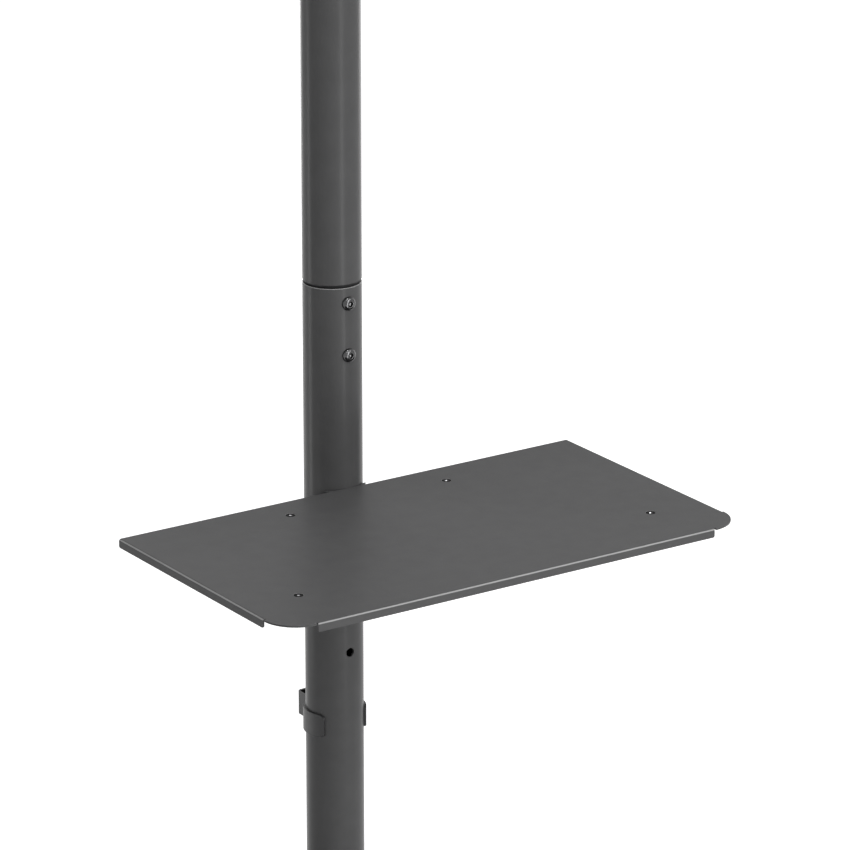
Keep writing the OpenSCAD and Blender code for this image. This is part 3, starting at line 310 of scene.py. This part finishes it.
# The nodes whose hard edges are rounded by each width
SOFT_EDGES = {
    0.15 * MM: ("tilt_washers", "base_washers", "swivel_stop_pin"),
    0.25 * MM: ("shelf_plate", "lower_tube", "upper_tube", "thrust_washer", "swivel_bush_upper",
                "swivel_bush_lower", "joint_nut_bar"),
    0.3 * MM: ("cable_clip_upper", "cable_clip_lower", "shelf_strap", "shelf_bracket", "shelf_arm_left",
               "shelf_arm_right", "screen_plate", "rail_upper", "rail_lower", "screen_arm_left",
               "screen_arm_right", "rail_caps", "base_stiffener"),
    0.4 * MM: ("base_plate", "foot_trim", "pole_cap", "swivel_sleeve", "tilt_bracket", "height_collar",
               "base_feet", "tube_foot"),
}


def solid_of(node):
    """The node's own solid, closed and with no needless edges."""
    form = bmesh.new()
    form.from_mesh(NODES[node].data)
    bmesh.ops.remove_doubles(form, verts=form.verts, dist=WELD)
    bmesh.ops.dissolve_limit(form, angle_limit=FLAT_ANGLE, verts=form.verts, edges=form.edges)
    return form


def round_free_corners(form, sheet, radius):
    """Round the lower corners of folded edges, where a short edge crosses the sheet at the lowest level."""
    lowest = min(vert.co.z for vert in form.verts) + SAME_LEVEL
    short = [edge for edge in form.edges
             if all(vert.co.z < lowest for vert in edge.verts) and edge.calc_length() < sheet]
    bmesh.ops.bevel(form, geom=short, offset=radius, segments=CORNER_SEGMENTS, profile=ROUND_PROFILE,
                    affect="EDGES")


def softened(node, width):
    """The node's own solid, with each hard edge rounded by the given width."""
    form = solid_of(node)
    if node in FREE_CORNERS:
        round_free_corners(form, *FREE_CORNERS[node])
    hard = [edge for edge in form.edges if edge.is_manifold and edge.calc_face_angle(0) > HARD_EDGE]
    bmesh.ops.bevel(form, geom=hard, offset=width, segments=1, profile=ROUND_PROFILE, affect="EDGES",
                    clamp_overlap=True)
    stand_for(node, form)


for width, nodes in SOFT_EDGES.items():
    for node in nodes:
        softened(node, width)


# Screws and nuts, turned round the axes of the CAD solids
SEGMENTS = 48
SMALL_CHAMFER = 0.15 * MM
# A sixth of a turn, and a hexagon's flats against its corners
SIXTH = math.pi / 3
FLATS_SHARE = math.cos(SIXTH / 2)
# The slope of a hexagon's chamfer, its round face and the dish in a screw's face against the flats
CHAMFER_SLOPE = math.tan(math.radians(30))
FACE_SHARE = 0.94
DISH_EDGE = 0.8
DISH_FLOOR = 0.7
BORE_CHAMFER = 0.08
# A thread's pitch against its diameter, its root against its radius, and its length in radii
PITCH_SHARE = 0.16
ROOT_SHARE = 0.87
THREAD_LENGTH = 4
# The end of a screw's chamfered tip against the thread's root
TIP_SHARE = 0.85
# What lies this much further out than the shank belongs to the head
HEAD_STEP = 1.05
# A button head: its rim against its height, the radii below its dome, and its socket
BUTTON_RIM = 0.2
BUTTON_SEAT = 0.95
BUTTON_SIDE = 0.99
BUTTON_DOME = 0.985
BUTTON_FLATS = 2 / 3
BUTTON_DEPTH = 0.6
DOME_STEPS = 9
# A countersunk head's socket, with the bands of rings in it that are worn bare
SUNK_FLATS = 0.65
SUNK_DEPTH = 0.5
SUNK_WORN = 3
# A socket's chamfer, and the cone at its bottom
MOUTH_CHAMFERS = 1.5
CONE_EDGE = 0.9
CONE_POINT = 0.3
CONE_DEPTH = 1.25


def islands(node):
    """The points of each separate solid of a node."""
    form = solid_of(node)
    form.verts.index_update()
    seen = set()
    groups = []
    for first in form.verts:
        if first.index in seen:
            continue
        seen.add(first.index)
        group = [first]
        for vert in group:
            for edge in vert.link_edges:
                other = edge.other_vert(vert)
                if other.index not in seen:
                    seen.add(other.index)
                    group.append(other)
        groups.append([vert.co.copy() for vert in group])
    form.free()
    return groups


def on_axis(points, axis):
    """A place on the solid's axis, with one of its corners along X, and each point's level and radius."""
    across = axis.orthogonal().normalized()
    middle = Vector((0, 0, 0))
    for side in (across, axis.cross(across)):
        reach = [point.dot(side) for point in points]
        middle += side * (min(reach) + max(reach)) / 2
    levels = [point.dot(axis) for point in points]
    arms = [point - middle - axis * level for point, level in zip(points, levels)]
    radii = [arm.length for arm in arms]
    across = arms[radii.index(max(radii))].normalized()
    place = Matrix((across, axis.cross(across), axis)).transposed().to_4x4()
    place.translation = middle
    return place, levels, radii


def shank_radius(levels, radii):
    tip = min(levels) + SAME_LEVEL
    return max(radius for radius, level in zip(radii, levels) if level < tip)


def seat_level(levels, radii, shank):
    """The level at which a raised head begins."""
    return min(level for radius, level in zip(radii, levels) if radius > shank * HEAD_STEP)


def ring(level, radius, hexagon=False, slope=0.0, rim=0.0):
    """One turned ring. A hexagon's radius is that of its flats, and its corners may slope beyond a rim."""
    points = []
    for step in range(SEGMENTS):
        angle = math.tau * step / SEGMENTS
        reach = radius / math.cos(angle % SIXTH - SIXTH / 2) if hexagon else radius
        rise = slope * max(reach - rim, 0)
        points.append(Vector((reach * math.cos(angle), reach * math.sin(angle), level + rise)))
    return points


def turn(form, rings, place, closed=False, worn=0):
    """Join the rings into a skin, which closes on itself or with a point in the middle of each end.

    The last worn bands and the end after them take the piece's second finish.
    """
    loops = [[form.verts.new(place @ point) for point in points] for points in rings]
    pairs = list(zip(loops, loops[1:]))
    if closed:
        pairs.append((loops[-1], loops[0]))
    for band, (lower, upper) in enumerate(pairs):
        for step in range(SEGMENTS):
            after = (step + 1) % SEGMENTS
            face = form.faces.new((lower[step], lower[after], upper[after], upper[step]))
            face.material_index = int(band >= len(pairs) - worn)
    if closed:
        return
    for loop, points, bare in ((loops[0], rings[0], 0), (loops[-1], rings[-1], int(worn > 0))):
        middle = form.verts.new(place @ Vector((0, 0, points[0].z)))
        for step in range(SEGMENTS):
            face = form.faces.new((loop[step], loop[(step + 1) % SEGMENTS], middle))
            face.material_index = bare


def shank_rings(tip, seat, radius):
    """From the chamfered tip up a thread to the plain shank under the head."""
    pitch = PITCH_SHARE * 2 * radius
    root = radius * ROOT_SHARE
    rings = [ring(tip, root * TIP_SHARE), ring(tip + pitch / 2, root)]
    level = tip + pitch
    end = min(tip + THREAD_LENGTH * radius, seat - pitch)
    while level < end:
        rings += [ring(level, radius), ring(level + pitch / 2, root)]
        level += pitch
    return rings + [ring(level, radius), ring(seat, radius)]


def socket_rings(top, flats, depth):
    """A hexagon socket with a chamfered mouth and a coned bottom."""
    return [
        ring(top, flats / FLATS_SHARE + SMALL_CHAMFER),
        ring(top - SMALL_CHAMFER * MOUTH_CHAMFERS, flats, hexagon=True),
        ring(top - depth, flats, hexagon=True),
        ring(top - depth - SMALL_CHAMFER, flats * CONE_EDGE),
        ring(top - depth * CONE_DEPTH, flats * CONE_POINT),
    ]


def button_screw(form, points, axis):
    place, levels, radii = on_axis(points, axis)
    top = max(levels)
    head = max(radii)
    shank = shank_radius(levels, radii)
    seat = seat_level(levels, radii, shank)
    rim = seat + (top - seat) * BUTTON_RIM
    rings = shank_rings(min(levels), seat, shank)
    rings += [
        ring(seat, head * BUTTON_SEAT),
        ring(seat + SMALL_CHAMFER, head * BUTTON_SIDE),
        ring(rim - SMALL_CHAMFER, head),
    ]
    # The dome is an arc that is level at the socket's mouth
    flats = shank * BUTTON_FLATS
    mouth = flats / FLATS_SHARE + SMALL_CHAMFER * 2
    foot = head * BUTTON_DOME
    for step in range(DOME_STEPS + 1):
        share = math.sin(math.pi / 2 * step / DOME_STEPS)
        radius = foot + (mouth - foot) * (1 - math.sqrt(1 - share ** 2))
        rings.append(ring(rim + (top - rim) * share, radius))
    turn(form, rings + socket_rings(top, flats, (top - seat) * BUTTON_DEPTH), place)


def countersunk_screw(form, points, axis):
    place, levels, radii = on_axis(points, axis)
    top = max(levels)
    head = max(radii)
    shank = shank_radius(levels, radii)
    rings = shank_rings(min(levels), top - (head - shank), shank)
    rings += [ring(top - SMALL_CHAMFER, head), ring(top, head - SMALL_CHAMFER)]
    rings += socket_rings(top, shank * SUNK_FLATS, (head - shank) * SUNK_DEPTH)
    turn(form, rings, place, worn=SUNK_WORN)


def hexagon_screw(form, points, axis):
    place, levels, radii = on_axis(points, axis)
    top = max(levels)
    flats = max(radii) * FLATS_SHARE
    face = flats * FACE_SHARE
    shank = shank_radius(levels, radii)
    seat = seat_level(levels, radii, shank)
    step = SMALL_CHAMFER * 2
    rings = shank_rings(min(levels), seat, shank)
    rings += [
        ring(seat, face),
        ring(seat + step, face),
        ring(seat + step, flats, hexagon=True),
        ring(top, flats, hexagon=True, slope=-CHAMFER_SLOPE, rim=face),
        ring(top, face),
        ring(top, face * DISH_EDGE),
        ring(top - step, face * DISH_FLOOR),
    ]
    turn(form, rings, place)


def hexagon_nut(form, points, axis):
    place, levels, radii = on_axis(points, axis)
    low = min(levels)
    high = max(levels)
    flats = max(radii) * FLATS_SHARE
    face = flats * FACE_SHARE
    bore = min(radii)
    chamfer = bore * BORE_CHAMFER
    rings = [
        ring(low, bore + chamfer),
        ring(low + chamfer, bore),
        ring(high - chamfer, bore),
        ring(high, bore + chamfer),
        ring(high, face),
        ring(high, flats, hexagon=True, slope=-CHAMFER_SLOPE, rim=face),
        ring(low, flats, hexagon=True, slope=CHAMFER_SLOPE, rim=face),
        ring(low, face),
    ]
    turn(form, rings, place, closed=True)


def outward(points):
    """The side on which a piece's head lies, for screws that face left and right from the middle."""
    middle = sum(point.x for point in points) / len(points)
    return Vector((math.copysign(1, middle - POLE_X), 0, 0))


# How each node's pieces are made, and which way their heads face
FASTENERS = {
    "joint_screws": (button_screw, -BACK), "shelf_clamp_bolts": (button_screw, BACK),
    "collar_screw": (button_screw, RIGHT), "swivel_lock_screw": (button_screw, BACK),
    "tilt_bolts": (button_screw, outward), "tilt_lock_screws": (button_screw, outward),
    "arm_lock_screws": (button_screw, outward), "plate_bolts": (button_screw, -BACK),
    "rail_bolts": (button_screw, -BACK), "foot_screws": (button_screw, -UP),
    "shelf_screws": (countersunk_screw, UP), "base_bolts": (hexagon_screw, -UP),
    "shelf_nuts": (hexagon_nut, UP), "shelf_clamp_nuts": (hexagon_nut, BACK),
    "collar_nut": (hexagon_nut, RIGHT), "tilt_nuts": (hexagon_nut, RIGHT),
    "tilt_lock_nuts": (hexagon_nut, RIGHT), "arm_lock_nuts": (hexagon_nut, RIGHT),
    "plate_nuts": (hexagon_nut, BACK), "rail_nuts": (hexagon_nut, BACK),
}


def fasteners(node, make, axis):
    form = bmesh.new()
    for points in islands(node):
        make(form, points, axis(points) if callable(axis) else axis)
    bmesh.ops.recalc_face_normals(form, faces=form.faces)
    stand_for(node, form)


for node, (make, axis) in FASTENERS.items():
    fasteners(node, make, axis)


# Painted shade: a black ring round the spigot, in the groove between the pole's two tubes, that makes the
# groove dark
GROOVE = 3.1 * MM
# Each corner's share of the groove's height, and its radius in millimetres
SHADE_RING_SECTION = ((0.03, 22.9), (0.03, 23.4), (0.36, 23.4), (0.89, 24.8), (0.89, 24.4), (0.33, 22.9))


def make_shade_ring():
    form = bmesh.new()
    rings = [ring(TUBE_HIGH.z + GROOVE * share, radius * MM) for share, radius in SHADE_RING_SECTION]
    turn(form, rings, Matrix.Translation((POLE_X, POLE_Y, 0)), closed=True)
    bmesh.ops.recalc_face_normals(form, faces=form.faces)
    mesh = mesh_of(form, "joint_shade_ring")
    steady_normals(add_piece("joint_shade_ring", mesh, "lower_tube", "black_plastic"))


make_shade_ring()


# Weld beads under the powder coat
BEAD_STEP = 0.8 * MM
BEAD_SIDES = 10
RIPPLE_LENGTH = 3.2 * MM
RIPPLE_HEIGHT = 0.1
NOSE_SIZE = 0.1


def bead_path(corners, cyclic=False):
    """Points at even steps along a line of corners."""
    points = []
    ends = corners[1:] + corners[:1] if cyclic else corners[1:]
    for start, end in zip(corners, ends):
        count = max(1, round((end - start).length / BEAD_STEP))
        points += [start.lerp(end, step / count) for step in range(count)]
    return points if cyclic else points + [corners[-1]]


def bead(form, corners, radius, across, cyclic=False):
    """A rippled bead along a line; across is a direction that the line never takes."""
    points = bead_path(corners, cyclic)
    count = len(points)
    loops = []
    for place, point in enumerate(points):
        before = points[place - 1] if cyclic or place else point
        after = points[(place + 1) % count] if cyclic or place < count - 1 else point
        along = (after - before).normalized()
        side = along.cross(across).normalized()
        lift = along.cross(side)
        size = radius * (1 + RIPPLE_HEIGHT * math.cos(math.tau * place * BEAD_STEP / RIPPLE_LENGTH))
        if not cyclic:
            # The ends run out in a short round nose
            edge = min(place, count - 1 - place) * BEAD_STEP / radius
            size *= math.sqrt(1 - (1 - min(edge, 1)) ** 2) * (1 - NOSE_SIZE) + NOSE_SIZE
        loop = []
        for step in range(BEAD_SIDES):
            angle = math.tau * step / BEAD_SIDES
            loop.append(form.verts.new(point + (side * math.cos(angle) + lift * math.sin(angle)) * size))
        loops.append(loop)
    pairs = list(zip(loops, loops[1:]))
    if cyclic:
        pairs.append((loops[-1], loops[0]))
    else:
        form.faces.new(loops[0])
        form.faces.new(loops[-1])
    for near, far in pairs:
        for step in range(BEAD_SIDES):
            after = (step + 1) % BEAD_SIDES
            form.faces.new((near[step], near[after], far[after], far[step]))


def finish_welds(form, node):
    bmesh.ops.recalc_face_normals(form, faces=form.faces)
    name = node + "_welds"
    add_piece(name, mesh_of(form, name), node)


def sleeve_welds():
    """Along the roots of the two ears, and round the boss of the lock screw."""
    low, high = corners_of("swivel_sleeve")
    sleeve = (high.x - low.x) / 2
    middle = (low.z + high.z) / 2
    ear = sleeve - 2 * MM
    beside = 0.4 * MM
    half_root = UP * 47 * MM
    ear_bead = 1.8 * MM
    boss = 9.4 * MM
    boss_bead = 1.6 * MM
    form = bmesh.new()
    for side in (-1, 1):
        depth = math.sqrt(sleeve ** 2 - ear ** 2)
        root = Vector((POLE_X + side * (ear + beside), POLE_Y - depth, middle))
        bead(form, [root - half_root, root + half_root], ear_bead, RIGHT)
    corners = []
    for step in range(SEGMENTS):
        angle = math.tau * step / SEGMENTS
        across = boss * math.sin(angle)
        back = math.sqrt(sleeve ** 2 - across ** 2)
        corners.append(Vector((POLE_X + across, POLE_Y + back, middle + boss * math.cos(angle))))
    bead(form, corners, boss_bead, BACK, cyclic=True)
    finish_welds(form, "swivel_sleeve")


def bracket_welds():
    """Where the saddle leaves the cross bar, and where the two arms meet it."""
    saddle = 27.6 * MM
    saddle_bead = 1.5 * MM
    rear = 25.1 * MM
    proud = 0.6 * MM
    low_end = UP * 25 * MM
    gap = 2 * MM
    under = SHELF_TOP - 1.5 * MM
    arm_bead = 1.6 * MM
    arm_inset = 0.3 * MM
    at_root = 0.1 * MM
    form = bmesh.new()
    for side in (-1, 1):
        reach = math.sqrt(saddle ** 2 - rear ** 2) + MM
        foot = Vector((POLE_X + side * reach, POLE_Y - rear + proud, under))
        bead(form, [foot - low_end, foot - UP * gap], saddle_bead, RIGHT)
    for node in ("shelf_arm_left", "shelf_arm_right"):
        points = [vert.co for vert in NODES[node].data.vertices]
        root = max(point.y for point in points)
        ends = [point for point in points if point.y > root - at_root]
        lowest = min(point.z for point in ends)
        for edge in (min(point.x for point in ends), max(point.x for point in ends)):
            foot = Vector((edge, root - arm_inset, lowest))
            top = Vector((edge, foot.y, under - gap))
            bead(form, [foot + UP * MM, top], arm_bead, RIGHT)
    finish_welds(form, "shelf_bracket")


def stiffener_welds():
    """Short beads at even places along both sides of the channel, under the base."""
    low, high = corners_of("base_stiffener")
    half_channel = 60 * MM
    bend_inset = 2.6 * MM
    below_base = 0.9 * MM
    bead_radius = 1.8 * MM
    bead_length = 30 * MM
    half_bead = BACK * bead_length / 2
    count = 5
    pitch = (high.y - low.y) / count
    form = bmesh.new()
    for side in (-1, 1):
        for place in range(count):
            across = side * (half_channel - bend_inset)
            middle = Vector((across, low.y + pitch * (place + 0.5), high.z - below_base))
            bead(form, [middle - half_bead, middle + half_bead], bead_radius, RIGHT)
    finish_welds(form, "base_stiffener")


sleeve_welds()
bracket_welds()
stiffener_welds()


# Studio
FLOOR_SIZE = 30
FLOOR_COLOUR = (0.8, 0.8, 0.8, 1)
# The floor shows the whole shadow up to the near distance, and is pure white beyond the far one
SHADOW_REACH = (1.2, 2.6)
FLOOR_GLOW = (0.8, 1.0)
# The world is white where it is seen, and this faint where it lights the object
AMBIENT = 0.015
LAMP_DISTANCE = 3.2
# Bearings and heights are in degrees round the pole, sizes and distances in metres, and powers in watts
LAMPS = {
    "key": dict(side=-42, height=20, size=(0.9, 2.4), power=46),
    "side": dict(side=-65, height=42, size=(0.3, 1.0), power=13),
    "rim": dict(side=104, height=18, size=(0.9, 2.4), power=13),
    "front": dict(side=0, height=48, size=(0.6, 0.6), power=10),
    "back": dict(side=158, height=5, size=(1.2, 2.0), power=20),
    "fill": dict(side=-150, height=5, size=(1.2, 2.0), power=11),
    "top": dict(side=0, height=80, size=(0.8, 0.8), power=27, distance=2.6),
    "strip_right": dict(side=-42, height=-9, size=(0.12, 0.72), power=3.5, distance=1.3),
    "strip_left": dict(side=95, height=-9, size=(0.10, 0.72), power=2.6, distance=1.3),
}


def seen_directly(tree):
    """1 for camera, glossy and transmission rays, and 0 for the rays that light the object."""
    rays = tree.nodes.new("ShaderNodeLightPath")
    total = rays.outputs["Is Camera Ray"]
    for kind in ("Is Glossy Ray", "Is Transmission Ray"):
        larger = tree.nodes.new("ShaderNodeMath")
        larger.operation = "MAXIMUM"
        tree.links.new(total, larger.inputs[0])
        tree.links.new(rays.outputs[kind], larger.inputs[1])
        total = larger.outputs[0]
    return total


def make_floor():
    corners = [(x * FLOOR_SIZE, y * FLOOR_SIZE, 0) for x, y in ((-1, -1), (1, -1), (1, 1), (-1, 1))]
    mesh = bpy.data.meshes.new("floor")
    mesh.from_pydata(corners, [], [(0, 1, 2, 3)])
    floor = new_object("floor", mesh)
    material, tree, shader = new_material("studio_floor")
    shader.inputs["Base Color"].default_value = FLOOR_COLOUR
    shader.inputs["Roughness"].default_value = 1.0
    shader.inputs["Specular IOR Level"].default_value = 0.0
    shader.inputs["Emission Color"].default_value = WHITE
    coords = tree.nodes.new("ShaderNodeTexCoord")
    distance = tree.nodes.new("ShaderNodeVectorMath")
    distance.operation = "LENGTH"
    near, far = SHADOW_REACH
    dim, full = FLOOR_GLOW
    fade = add_node(tree, "ShaderNodeMapRange", From_Min=near, From_Max=far, To_Min=dim, To_Max=full)
    glow = tree.nodes.new("ShaderNodeMath")
    glow.operation = "MULTIPLY"
    tree.links.new(coords.outputs["Object"], distance.inputs[0])
    tree.links.new(distance.outputs["Value"], fade.inputs["Value"])
    tree.links.new(fade.outputs["Result"], glow.inputs[0])
    tree.links.new(seen_directly(tree), glow.inputs[1])
    tree.links.new(glow.outputs[0], shader.inputs["Emission Strength"])
    mesh.materials.append(material)


def make_world():
    world = bpy.data.worlds.new("studio")
    bpy.context.scene.world = world
    world.use_nodes = True
    tree = world.node_tree
    back = tree.nodes["Background"]
    back.inputs["Color"].default_value = WHITE
    level = add_node(tree, "ShaderNodeMapRange", To_Min=AMBIENT, To_Max=1.0)
    tree.links.new(seen_directly(tree), level.inputs["Value"])
    tree.links.new(level.outputs["Result"], back.inputs["Strength"])


def softbox(name, side, height, size, power, distance=LAMP_DISTANCE):
    """An area light aimed at the pole. Side is its bearing from the camera, with a minus to the right."""
    bearing = YAW + math.radians(side)
    pitch = math.radians(height)
    data = bpy.data.lights.new(name, "AREA")
    data.shape = "RECTANGLE"
    data.size, data.size_y = size
    data.energy = power
    lamp = new_object(name, data)
    lamp.location = AIM - view_axes(bearing, pitch)[0] * distance
    lamp.rotation_euler = (math.pi / 2 - pitch, 0, -bearing)


make_floor()
make_world()
for name, values in LAMPS.items():
    softbox(name, **values)

bpy.context.scene.view_settings.view_transform = "Standard"
